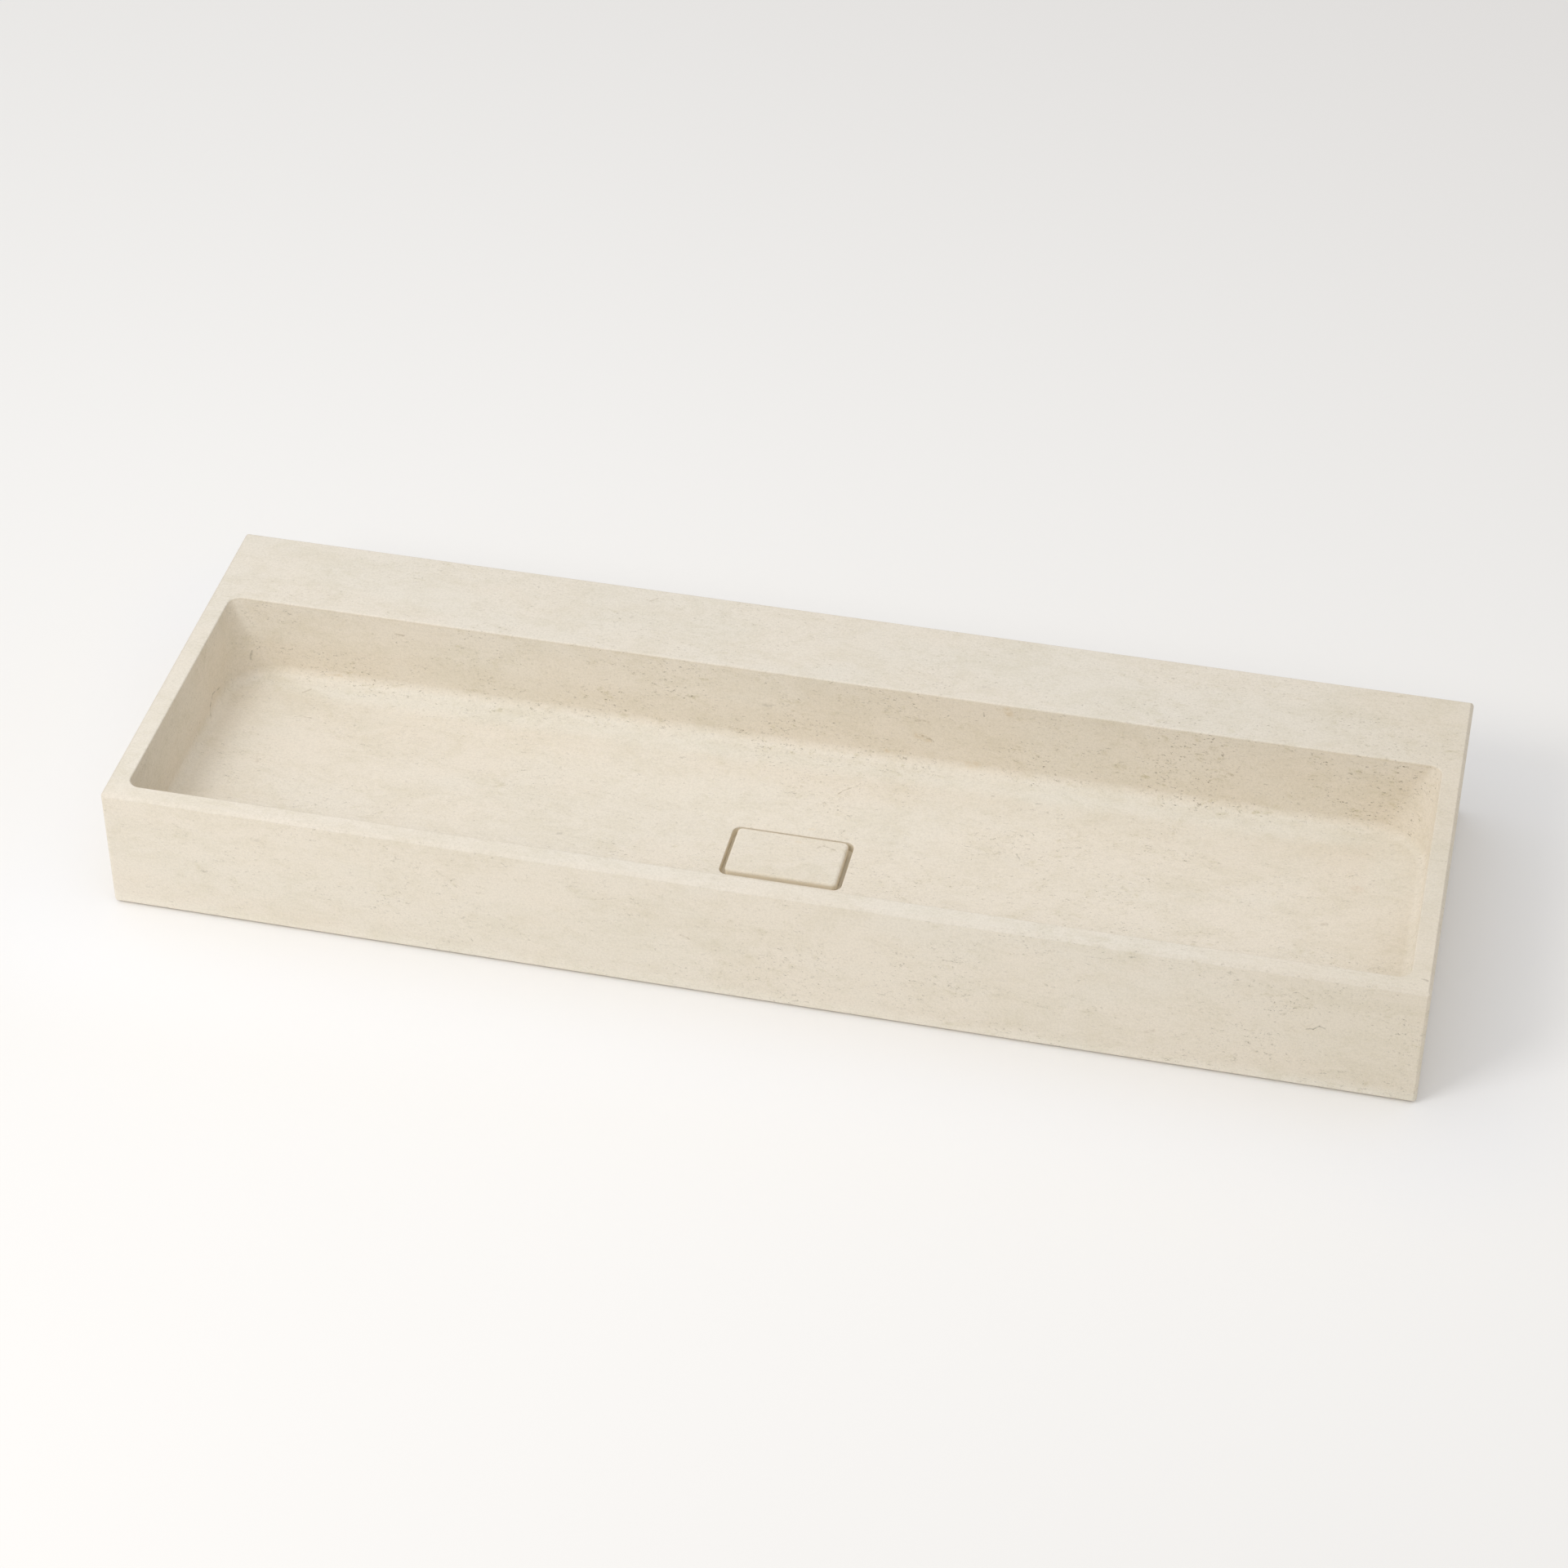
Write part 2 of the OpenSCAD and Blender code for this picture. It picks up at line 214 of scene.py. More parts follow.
# Round dots: cells per metre, radius and core in cell widths and radii, share of cells, and loss of strength
DOTS_PER_METRE = 420
DOT_RADIUS = 0.38
DOT_CORE = 0.3
DOT_SHARE = 0.05
DOT_FADE = 0.6

# Dark grains by place: denser to the right and on the rear wall, sparser on top and on the rear face
GRAINS_REACH = 0.6
GRAINS_LEFT = 0.8
GRAINS_RIGHT = 1.2
GRAINS_WALL_BAND = (85 * MM, 104 * MM)
GRAINS_WALL_EXTRA = 0.7
GRAINS_TOP = 0.5
GRAINS_BEHIND = 0.6

# How deep below an outer face or past the trough's walls a change that belongs there fades
SKIN = 1 * MM
UNDER_SKIN = 2 * MM
DEEP = 4 * MM

# Painted shade: the chamfers round the block's top and its right end are painted a little darker than the
# honed faces, to dim the light they catch
STONE_PAINTED_SHADE = (0.500, 0.440, 0.370)
CHAMFER_SHADE_SHARE = 0.15
CHAMFER_MARGIN = 0.1 * MM
CHAMFER_FADE = 0.6 * MM
RIGHT_END_SHADE_SHARE = 0.12
RIGHT_END_BAND = (0.6 * MM, 1.8 * MM)

# Painted light and shade, as slow changes of colour: painted shade, warmer and darker, towards the right on
# the top and the front;
# painted light, cooler and paler, at the foot of the trough's rear and right walls, low on the front, and
# high on the rear wall's left half
TONE_PLAIN = (1, 1, 1)
PAINTED_SHADE_RIGHT = (0.970, 0.955, 0.925)
PAINTED_SHADE_RIGHT_START = 360 * MM
PAINTED_LIGHT_FOOT = (1.030, 1.065, 1.105)
PAINTED_LIGHT_FOOT_REAR = (66 * MM, 90 * MM)
PAINTED_LIGHT_FOOT_RIGHT = (520 * MM, 560 * MM)
PAINTED_LIGHT_FOOT_RIGHT_REAR = (-60 * MM, 60 * MM)
PAINTED_LIGHT_FOOT_TOP = (44 * MM, 52 * MM)
PAINTED_LIGHT_LOW_FRONT = (1.040, 1.055, 1.065)
PAINTED_LIGHT_LOW_FRONT_TOP = (6 * MM, 20 * MM)
PAINTED_LIGHT_REAR_LEFT = (1.030, 1.042, 1.060)
PAINTED_LIGHT_REAR_LEFT_X = (-80 * MM, 20 * MM)
PAINTED_LIGHT_REAR_LEFT_Y = (98 * MM, 102 * MM)
PAINTED_LIGHT_REAR_LEFT_Z = (75 * MM, 100 * MM)
PAINTED_LIGHT_TROUGH_BOTTOM = (15 * MM, 20 * MM)

# Painted bounce light in the gap round the cover: the stone there is painted warmer and plainer than the
# honed faces
GAP_PAINTED_LIGHT = (0.862, 0.768, 0.600)
GAP_PAINTED_LIGHT_SHARE = 0.85
GAP_FADE = 1.5 * MM
GAP_EDGE = 0.2 * MM
GAP_BOTTOM = SEAT_Z - 1 * MM
BASIN_GAP_TOP = POCKET_RIM_Z - 1 * MM
COVER_GAP_TOP = POCKET_RIM_Z + 1 * MM

# Short natural marks in the stone: both ends in millimetres, radius in millimetres, strength and tint.
# Each wanders off its line, is broken up by a noise, and is full inside a share of its radius.
MARK_UMBER = (0.30, 0.22, 0.12)
MARK_GREY = (0.20, 0.17, 0.12)
MARK_OCHRE = (0.60, 0.44, 0.22)
MARK_RED = (0.62, 0.42, 0.28)
MARK_WANDER = 4 * MM
MARK_WANDER_MIDDLE = Vector((0.5, 0.5, 0.5))
MARK_WANDERS_PER_METRE = 110
MARK_BREAKS_NOISE = (260, 1)
MARK_BREAKS_LEVELS = (0.35, 0.6)
MARK_FAINTEST = 0.30
MARK_CORE = 0.15
BASIN_MARKS = [
    ((28.9, 50.3, 40.7), (33.8, 55.8, 41.4), 1.2, 0.50, MARK_UMBER),
    ((33.8, 55.8, 41.4), (39.8, 60.2, 42.0), 1.1, 0.42, MARK_UMBER),
    ((99.4, 105.0, 81.2), (110.1, 105.0, 78.6), 2.0, 0.42, MARK_GREY),
    ((93.9, 105.0, 81.4), (106.0, 105.0, 78.2), 6.0, 0.26, MARK_OCHRE),
    ((92.8, 105.0, 99.7), (104.9, 105.0, 99.4), 2.2, 0.30, MARK_UMBER),
    ((64.2, 105.0, 56.8), (65.7, 104.9, 56.0), 3.4, 0.32, MARK_OCHRE),
    ((179.3, 105.0, 127.3), (183.3, 105.0, 123.1), 5.5, 0.30, MARK_OCHRE),
    ((145.6, 104.6, 54.6), (153.5, 104.9, 55.8), 6.0, 0.22, MARK_OCHRE),
    ((158.3, 105.0, 120.1), (159.1, 105.0, 116.8), 1.5, 0.42, MARK_GREY),
    ((-589.5, 50.0, 61.2), (-589.5, 32.5, 67.3), 1.7, 0.36, MARK_GREY),
    ((-589.5, 32.5, 67.3), (-589.5, 22.9, 60.5), 1.8, 0.42, MARK_GREY),
    ((-589.5, 22.9, 60.5), (-587.5, 16.2, 51.2), 1.8, 0.34, MARK_GREY),
    ((-571.5, 97.6, 73.8), (-572.6, 94.8, 66.1), 2.0, 0.36, MARK_GREY),
    ((-515.8, 79.6, 45.3), (-508.9, 86.5, 45.5), 1.3, 0.34, MARK_UMBER),
    ((-501.7, 44.4, 44.5), (-494.8, 44.5, 44.3), 1.2, 0.34, MARK_UMBER),
    ((-498.9, 103.8, 52.5), (-482.9, 104.3, 53.6), 2.0, 0.34, MARK_OCHRE),
    ((216.5, 74.1, 43.8), (221.8, 75.1, 43.9), 1.3, 0.34, MARK_GREY),
    ((192.2, 5.1, 36.5), (194.0, 4.3, 36.5), 1.8, 0.34, MARK_GREY),
    ((-425.0, 105.0, 115.3), (-415.2, 105.0, 113.9), 1.5, 0.40, MARK_UMBER),
    ((-188.8, 189.0, 133.0), (-182.0, 194.7, 133.0), 1.5, 0.26, MARK_UMBER),
    ((599.5, -190.8, 133.0), (604.5, -192.5, 133.0), 1.8, 0.34, MARK_GREY),
    ((-61.0, -209.5, 68.3), (-53.4, -209.5, 65.8), 1.7, 0.50, MARK_UMBER),
    ((505.7, -209.5, 71.0), (512.2, -209.5, 72.0), 1.2, 0.40, MARK_GREY),
    ((512.2, -209.5, 72.0), (516.5, -209.5, 77.2), 1.2, 0.50, MARK_GREY),
    ((516.5, -209.5, 77.2), (522.6, -209.5, 74.7), 1.2, 0.46, MARK_GREY),
    ((365.2, -209.5, 38.1), (371.6, -209.5, 41.4), 3.2, 0.22, MARK_UMBER),
    ((-464.8, -209.5, 106.1), (-459.3, -209.5, 106.1), 3.6, 0.16, MARK_GREY),
    ((394.0, 105.0, 88.7), (397.2, 105.0, 87.3), 2.4, 0.46, MARK_UMBER),
    ((-56.7, 105.0, 92.3), (-50.2, 105.0, 91.4), 3.4, 0.24, MARK_GREY),
    ((502.6, -37.4, 44.5), (506.2, -36.7, 44.6), 3.2, 0.26, MARK_UMBER),
    ((525.5, 18.5, 45.1), (530.1, 18.2, 45.2), 6.5, 0.22, MARK_RED),
    ((-217.9, -61.6, 37.1), (-214.2, -60.6, 37.0), 2.8, 0.24, MARK_GREY),
    ((210.0, 6.1, 36.9), (215.2, -1.3, 37.1), 1.5, 0.36, MARK_GREY),
    ((-527.0, -26.1, 45.1), (-524.6, -33.1, 45.1), 2.0, 0.30, MARK_UMBER),
    ((13.2, 0.9, 34.2), (16.3, 1.5, 34.3), 2.6, 0.26, MARK_OCHRE),
    ((149.2, 126.4, 133.0), (156.0, 128.0, 133.0), 3.0, 0.16, MARK_GREY),
]
COVER_MARKS = [
    ((26.1, -25.7, 36.0), (32.4, -21.9, 36.0), 2.0, 0.30, MARK_UMBER),
    ((32.4, -21.9, 36.0), (42.6, -25.6, 36.0), 1.9, 0.34, MARK_UMBER),
    ((12.9, -43.9, 36.0), (16.4, -45.5, 36.0), 2.6, 0.20, MARK_GREY),
    ((4.7, -21.5, 36.0), (8.0, -22.0, 36.0), 2.6, 0.18, MARK_OCHRE),
]

# ---------------------------------------------------------------- numbers of the fittings

# Metal: noises as for the stone, the levels at which stains come in, and how much they show and dull it
TOOL_MARK_NOISE = (100, 4, 0.7)
METAL_PATCH_NOISE = (70, 4, 0.65)
METAL_PATCH_LEVELS = (0.40, 0.75)
METAL_SPOT_NOISE = (420, 2)
METAL_SPOT_LEVELS = (0.6, 0.75)
METAL_SPOT_SHARE = 0.12
METAL_STAIN_DULLS = 0.25

# Rubber, foam and fibre: fine pores over a slightly uneven colour
PORE_DETAIL = (3, 0.7)
PORE_LEVELS = (0.45, 0.7)
PORE_SHARE = 0.5
UNEVEN_NOISE = (55, 3)
UNEVEN_LEVELS = (0.3, 0.8)
UNEVEN_SHARE = 0.5
SOFT_SPECULAR = 0.35


# ---------------------------------------------------------------- mesh helpers

def quarter_turns():
    """Angles from nothing to a quarter turn, for small rounded edges."""
    return [QUARTER_TURN * step / ROUND_STEPS for step in range(ROUND_STEPS + 1)]


def stations():
    """Points of a rounded rectangle: each with its corner's place, from -1 to 1, and the outward normal."""
    corners = [(1, 1), (-1, 1), (-1, -1), (1, -1)]
    made = []
    for k, corner in enumerate(corners):
        for step in range(CORNER_STEPS + 1):
            turn = QUARTER_TURN * (k + step / CORNER_STEPS)
            normal = Vector((math.cos(turn), math.sin(turn)))
            made.append((Vector(corner), normal))
        following = corners[(k + 1) % 4]
        for step in range(1, SIDE_STEPS):
            place = Vector(corner).lerp(Vector(following), step / SIDE_STEPS)
            made.append((place, normal))
    return made


STATIONS = stations()


def ring_point(station, half_l, half_d, corner_r, z):
    place, normal = station
    x = place.x * (half_l - corner_r) + normal.x * corner_r
    y = place.y * (half_d - corner_r) + normal.y * corner_r
    return Vector((x, TROUGH_Y + y, z))


def add_loop(bm, points):
    return [bm.verts.new(p) for p in points]


def add_ring(bm, half_l, half_d, corner_r, z):
    return add_loop(bm, [ring_point(s, half_l, half_d, corner_r, z) for s in STATIONS])


def bridge(bm, loops):
    """Quads between each loop and the next, all with the same number of points."""
    for first, second in zip(loops, loops[1:]):
        count = len(first)
        for i in range(count):
            j = (i + 1) % count
            bm.faces.new((first[i], first[j], second[j], second[i]))


def fill(bm, *loops):
    """A flat face inside the first loop, with the other loops as its holes, in well-shaped triangles."""
    verts = [v for loop in loops for v in loop]
    made = []
    for triangle in tessellate_polygon([[v.co for v in loop] for loop in loops]):
        corners = [verts[i] for i in triangle]
        if len(set(corners)) == 3 and bm.faces.get(corners) is None:
            made.append(bm.faces.new(corners))
    known = set(made)
    inner = [edge for edge in bm.edges if edge.link_faces and known.issuperset(edge.link_faces)]
    bmesh.ops.beautify_fill(bm, faces=made, edges=inner, method="ANGLE")


def finish_mesh(bm, name):
    bmesh.ops.recalc_face_normals(bm, faces=bm.faces)
    for face in bm.faces:
        face.smooth = True
    mesh = bpy.data.meshes.new(name)
    bm.to_mesh(mesh)
    bm.free()
    piece = bpy.data.objects.new(name, mesh)
    bpy.context.collection.objects.link(piece)
    normals = piece.modifiers.new("flat faces stay flat", "WEIGHTED_NORMAL")
    normals.mode = "FACE_AREA"
    normals.weight = AREA_WEIGHT
    return piece


# ---------------------------------------------------------------- basin

def corner_points(sx, sy, sz):
    """Points of one chamfered corner of the block, on the side that the signs name."""
    side = EDGE_CHAMFER
    cut = EDGE_CHAMFER if sz > 0 else BASE_CHAMFER
    insets = ((cut, cut, 0), (side, 0, cut), (0, side, cut), (side / 2, side / 2, cut - side / 2))
    return [Vector((
        sx * (BODY_L / 2 - inset[0]),
        sy * (BODY_D / 2 - inset[1]),
        BODY_H / 2 + sz * (BODY_H / 2 - inset[2]),
    )) for inset in insets]


def block_loops(bm):
    """The block's outside, with soft chamfers. Gives the border loops of its open top, base and rear."""
    verts = []
    for sx in (-1, 1):
        for sy in (-1, 1):
            for sz in (-1, 1):
                verts += add_loop(bm, corner_points(sx, sy, sz))
    bmesh.ops.convex_hull(bm, input=verts)
    bmesh.ops.dissolve_limit(bm, angle_limit=SAME_PLANE_ANGLE, verts=bm.verts, edges=bm.edges)
    bmesh.ops.bevel(bm, geom=list(bm.edges), offset=EDGE_SOFTNESS, segments=EDGE_STEPS,
                    profile=EVEN_PROFILE, affect="EDGES", offset_type="OFFSET")
    loops = []
    for direction in (Vector((0, 0, 1)), Vector((0, 0, -1)), Vector((0, 1, 0))):
        bm.faces.ensure_lookup_table()
        facing = [face for face in bm.faces if face.normal.dot(direction) > SAME_FACING]
        largest = max(facing, key=lambda face: face.calc_area())
        loops.append(list(largest.verts))
        bm.faces.remove(largest)
    return loops


def cove_reach(normal):
    """Turn of the cove, from upright, at which it meets the floor that falls to the pocket."""
    corner_to_corner = Vector((TROUGH_A - FLOOR_CORNER_R - POCKET_L / 2 + POCKET_CORNER_R,
                               TROUGH_B - FLOOR_CORNER_R - POCKET_D / 2 + POCKET_CORNER_R))
    run = abs(normal.x) * corner_to_corner.x + abs(normal.y) * corner_to_corner.y
    run += FLOOR_CORNER_R - POCKET_CORNER_R - COVE_R
    rise = WALL_FOOT_Z - POCKET_RIM_Z
    slope = math.atan2(rise, run) - math.asin(COVE_R / math.hypot(run, rise))
    return QUARTER_TURN - slope


def cove_ring(bm, share):
    """A ring on the cove, at a share of its turn."""
    points = []
    for station in STATIONS:
        turn = cove_reach(station[1]) * share
        inset = COVE_R * (1 - math.cos(turn))
        z = WALL_FOOT_Z - COVE_R * math.sin(turn)
        points.append(ring_point(station, TROUGH_A - inset, TROUGH_B - inset, FLOOR_CORNER_R - inset, z))
    return add_loop(bm, points)


def pocket_edge_ring(bm, turn):
    """A ring on the pocket's rounded upper edge, which meets the sloping floor."""
    out = POCKET_EDGE_ROUND * (1 - math.sin(turn))
    drop = POCKET_EDGE_ROUND * (1 - math.cos(turn))
    points = []
    for station in STATIONS:
        lift = POCKET_EDGE_ROUND * math.tan(QUARTER_TURN - cove_reach(station[1]))
        points.append(ring_point(station, POCKET_L / 2 + out, POCKET_D / 2 + out, POCKET_CORNER_R + out,
                                 POCKET_RIM_Z + lift - drop))
    return add_loop(bm, points)


def trough_rings(bm):
    """From the rim down the walls, round the cove and over the floor to the pocket's floor."""
    rings = []
    for turn in quarter_turns():
        out = RIM_ROUND * (1 - math.sin(turn))
        drop = RIM_ROUND * (1 - math.cos(turn))
        rings.append(add_ring(bm, TROUGH_A + out, TROUGH_B + out, RIM_CORNER_R + out, BODY_H - drop))
    for step in range(COVE_STEPS + 1):
        rings.append(cove_ring(bm, step / COVE_STEPS))
    for turn in quarter_turns():
        rings.append(pocket_edge_ring(bm, turn))
    for turn in quarter_turns():
        inset = POCKET_FOOT_ROUND * (1 - math.cos(turn))
        rise = POCKET_FOOT_ROUND * (1 - math.sin(turn))
        rings.append(add_ring(bm, POCKET_L / 2 - inset, POCKET_D / 2 - inset, POCKET_CORNER_R - inset,
                              POCKET_FLOOR_Z + rise))
    bridge(bm, rings)
    return rings[0], rings[-1]


def turned_loops(bm, profile, place):
    """Rings turned round the Z axis from (radius, height) pairs, moved by the matrix place."""
    loops = []
    for radius, height in profile:
        loops.append(add_loop(bm, [
            place @ Vector((radius * math.cos(math.tau * k / CIRCLE_STEPS),
                            radius * math.sin(math.tau * k / CIRCLE_STEPS), height))
            for k in range(CIRCLE_STEPS)
        ]))
    bridge(bm, loops)
    return loops


def blind_hole(bm, profile, place):
    """A turned hole with a flat bottom. Gives the loop of its mouth."""
    loops = turned_loops(bm, profile, place)
    bm.faces.new(loops[-1])
    return loops[0]


def make_basin():
    bm = bmesh.new()
    top, base, rear = block_loops(bm)
    rim, pocket_floor = trough_rings(bm)
    drain = turned_loops(bm, [
        (SEAT_R + SMALL_EDGE, POCKET_FLOOR_Z),
        (SEAT_R, POCKET_FLOOR_Z - SMALL_EDGE),
        (SEAT_R, SEAT_Z),
        (WASTE_HOLE_R, SEAT_Z),
        (WASTE_HOLE_R, RECESS_ROOF_Z),
        (RECESS_R, RECESS_ROOF_Z),
        (RECESS_R, SMALL_EDGE),
        (RECESS_R + SMALL_EDGE, 0),
    ], Matrix.Translation((0, TROUGH_Y, 0)))
    anchor_hole = [
        (ANCHOR_HOLE_R + SMALL_EDGE / 2, 0),
        (ANCHOR_HOLE_R, SMALL_EDGE / 2),
        (ANCHOR_HOLE_R, ANCHOR_HOLE_DEPTH),
    ]
    anchor_mouths = []
    for x in (-ANCHOR_X, ANCHOR_X):
        for z in ANCHOR_Z:
            place = Matrix.Translation((x, BODY_D / 2, z)) @ Matrix.Rotation(QUARTER_TURN, 4, "X")
            anchor_mouths.append(blind_hole(bm, anchor_hole, place))
    fill(bm, top, rim)
    fill(bm, pocket_floor, drain[0])
    fill(bm, base, drain[-1])
    fill(bm, rear, *anchor_mouths)
    return finish_mesh(bm, "basin_stone")


# ---------------------------------------------------------------- cover

def make_cover():
    half_l = COVER_L / 2
    half_d = COVER_D / 2
    bm = bmesh.new()
    rings = [
        add_ring(bm, half_l - COVER_FOOT_EDGE, half_d - COVER_FOOT_EDGE, COVER_CORNER_R - COVER_FOOT_EDGE,
                 cover_low.z),
        add_ring(bm, half_l, half_d, COVER_CORNER_R, cover_low.z + COVER_FOOT_EDGE),
    ]
    for turn in quarter_turns():
        inset = COVER_ROUND * (1 - math.cos(turn))
        drop = COVER_ROUND * (1 - math.sin(turn))
        rings.append(add_ring(bm, half_l - inset, half_d - inset, COVER_CORNER_R - inset,
                              cover_high.z - drop))
    bridge(bm, rings)
    stud_hole = [(STUD_HOLE_R, 0), (STUD_HOLE_R, STUD_HOLE_DEPTH)]
    stud_mouths = []
    for sx in (-1, 1):
        for sy in (-1, 1):
            x = sx * (half_l - STUD_INSET)
            y = TROUGH_Y + sy * (half_d - STUD_INSET)
            stud_mouths.append(blind_hole(bm, stud_hole, Matrix.Translation((x, y, cover_low.z))))
    fill(bm, rings[0], *stud_mouths)
    bm.faces.new(rings[-1])
    return finish_mesh(bm, "cover_stone")


# ---------------------------------------------------------------- materials

class Paint:
    """A material's node tree, with short calls for the nodes that the finishes below use."""

    def __init__(self, name):
        self.material = bpy.data.materials.new(name)
        self.material.use_nodes = True
        self.nodes = self.material.node_tree.nodes
        self.links = self.material.node_tree.links
        self.shader = self.nodes["Principled BSDF"]

    def connect(self, value, socket):
        """A number or a colour is set on the socket, and anything else is linked to it."""
        if isinstance(value, (int, float)):
            socket.default_value = value
        elif isinstance(value, (tuple, Vector)):
            socket.default_value = tuple(value) + (1,) * (len(socket.default_value) - len(value))
        else:
            self.links.new(value, socket)

    def surface(self, **sockets):
        for name, value in sockets.items():
            self.connect(value, self.shader.inputs[name.replace("_", " ")])

    def place(self, scale=(1, 1, 1), shift=(0, 0, 0)):
        """Coordinates in metres on the piece, scaled and moved."""
        source = self.nodes.new("ShaderNodeTexCoord").outputs["Object"]
        mapping = self.nodes.new("ShaderNodeMapping")
        self.links.new(source, mapping.inputs["Vector"])
        mapping.inputs["Scale"].default_value = scale
        mapping.inputs["Location"].default_value = shift
        return mapping.outputs["Vector"]

    def noise(self, place, per_metre, detail=2, roughness=0.5, distortion=0):
        node = self.nodes.new("ShaderNodeTexNoise")
        self.links.new(place, node.inputs["Vector"])
        node.inputs["Scale"].default_value = per_metre
        node.inputs["Detail"].default_value = detail
        node.inputs["Roughness"].default_value = roughness
        node.inputs["Distortion"].default_value = distortion
        return node.outputs["Fac"]

    def noise_vector(self, place, per_metre):
        node = self.nodes.new("ShaderNodeTexNoise")
        self.links.new(place, node.inputs["Vector"])
        node.inputs["Scale"].default_value = per_metre
        return node.outputs["Color"]

    def cells(self, place, per_metre):
        """Distance to the nearest cell's middle, and a random number for that cell."""
        node = self.nodes.new("ShaderNodeTexVoronoi")
        self.links.new(place, node.inputs["Vector"])
        node.inputs["Scale"].default_value = per_metre
        chance = self.nodes.new("ShaderNodeSeparateColor")
        self.links.new(node.outputs["Color"], chance.inputs["Color"])
        return node.outputs["Distance"], chance.outputs["Red"]

    def math(self, operation, *values):
        node = self.nodes.new("ShaderNodeMath")
        node.operation = operation
        for value, socket in zip(values, node.inputs):
            self.connect(value, socket)
        return node.outputs["Value"]

    def product(self, first, *others):
        """Two or more values multiplied."""
        total = first
        for value in others:
            total = self.math("MULTIPLY", total, value)
        return total

    def vector_math(self, operation, *values, output="Vector"):
        node = self.nodes.new("ShaderNodeVectorMath")
        node.operation = operation
        for value, socket in zip(values, node.inputs):
            self.connect(value, socket)
        return node.outputs[output]

    def scaled(self, vector, factor):
        """A fixed vector times a value."""
        node = self.nodes.new("ShaderNodeVectorMath")
        node.operation = "SCALE"
        node.inputs[0].default_value = vector
        self.links.new(factor, node.inputs["Scale"])
        return node.outputs["Vector"]

    def parts(self, vector):
        """The vector's three numbers."""
        node = self.nodes.new("ShaderNodeSeparateXYZ")
        self.links.new(vector, node.inputs["Vector"])
        return node.outputs["X"], node.outputs["Y"], node.outputs["Z"]

    def ramp(self, value, low, high, at_low=0.0, at_high=1.0):
        """A smooth step from at_low, where the value is low, to at_high, where it is high."""
        node = self.nodes.new("ShaderNodeMapRange")
        node.interpolation_type = "SMOOTHSTEP"
        self.connect(value, node.inputs["Value"])
        node.inputs["From Min"].default_value = low
        node.inputs["From Max"].default_value = high
        node.inputs["To Min"].default_value = at_low
        node.inputs["To Max"].default_value = at_high
        return node.outputs["Result"]

    def mix(self, factor, first, second):
        node = self.nodes.new("ShaderNodeMix")
        node.data_type = "RGBA"
        self.connect(factor, node.inputs["Factor"])
        self.connect(first, node.inputs["A"])
        self.connect(second, node.inputs["B"])
        return node.outputs["Result"]

    def bump(self, height, depth):
        """Relief from a height between 0 and 1 that stands for depth metres."""
        node = self.nodes.new("ShaderNodeBump")
        node.inputs["Distance"].default_value = depth
        self.links.new(height, node.inputs["Height"])
        self.links.new(node.outputs["Normal"], self.shader.inputs["Normal"])


# ---------------------------------------------------------------- limestone

def round_dots(paint, place, density):
    """Small dark dots: cells with a random number below the local share, strongest where it is least."""
    distance, chance = paint.cells(place, DOTS_PER_METRE)
    limit = paint.product(density, DOT_SHARE)
    shown = paint.math("LESS_THAN", chance, limit)
    strength = paint.math("MULTIPLY_ADD", paint.math("DIVIDE", chance, limit), -DOT_FADE, 1.0)
    spot = paint.ramp(distance, DOT_RADIUS * DOT_CORE, DOT_RADIUS, 1, 0)
    return paint.product(spot, shown, strength)


def vein(paint, place, start, end, radius):
    """How strongly a short mark from start to end covers each point, from 0 to 1."""
    along = end - start
    offset = paint.vector_math("SUBTRACT", place, start)
    share = paint.math("DIVIDE", paint.vector_math("DOT_PRODUCT", offset, along, output="Value"),
                       along.length_squared)
    share = paint.math("MINIMUM", paint.math("MAXIMUM", share, 0.0), 1.0)
    distance = paint.vector_math("DISTANCE", offset, paint.scaled(along, share), output="Value")
    return paint.ramp(distance, radius * MARK_CORE, radius, 1, 0)


def add_marks(paint, even, colour, marks):
    """The colour with short natural marks over it."""
    wander = paint.noise_vector(even, MARK_WANDERS_PER_METRE)
    wander = paint.vector_math("SUBTRACT", wander, MARK_WANDER_MIDDLE)
    place = paint.vector_math("MULTIPLY_ADD", wander, Vector((1, 1, 1)) * MARK_WANDER, paint.place())
    broken = paint.ramp(paint.noise(even, *MARK_BREAKS_NOISE), *MARK_BREAKS_LEVELS, MARK_FAINTEST, 1.0)
    for start, end, radius, strength, shade in marks:
        shown = vein(paint, place, Vector(start) * MM, Vector(end) * MM, radius * MM)
        colour = paint.mix(paint.product(shown, broken, strength), colour, shade)
    return colour


def speckling(paint):
    """How dense the dark grains are at each place on the sink, as a factor."""
    x, y, z = paint.parts(paint.place())
    along = paint.ramp(x, -GRAINS_REACH, GRAINS_REACH, GRAINS_LEFT, GRAINS_RIGHT)
    to_middle = paint.math("ABSOLUTE", x)
    between_ends = paint.ramp(to_middle, TROUGH_A + UNDER_SKIN, BODY_L / 2 - SKIN, 1, 0)
    wall_extra = paint.ramp(y, *GRAINS_WALL_BAND, 0, GRAINS_WALL_EXTRA)
    across = paint.math("MULTIPLY_ADD", wall_extra, between_ends, 1.0)
    upward = paint.ramp(z, BODY_H - UNDER_SKIN, BODY_H - SKIN, 1.0, GRAINS_TOP)
    behind = paint.ramp(y, BODY_D / 2 - SKIN - UNDER_SKIN, BODY_D / 2 - SKIN, 1.0, GRAINS_BEHIND)
    return paint.product(along, across, upward, behind)


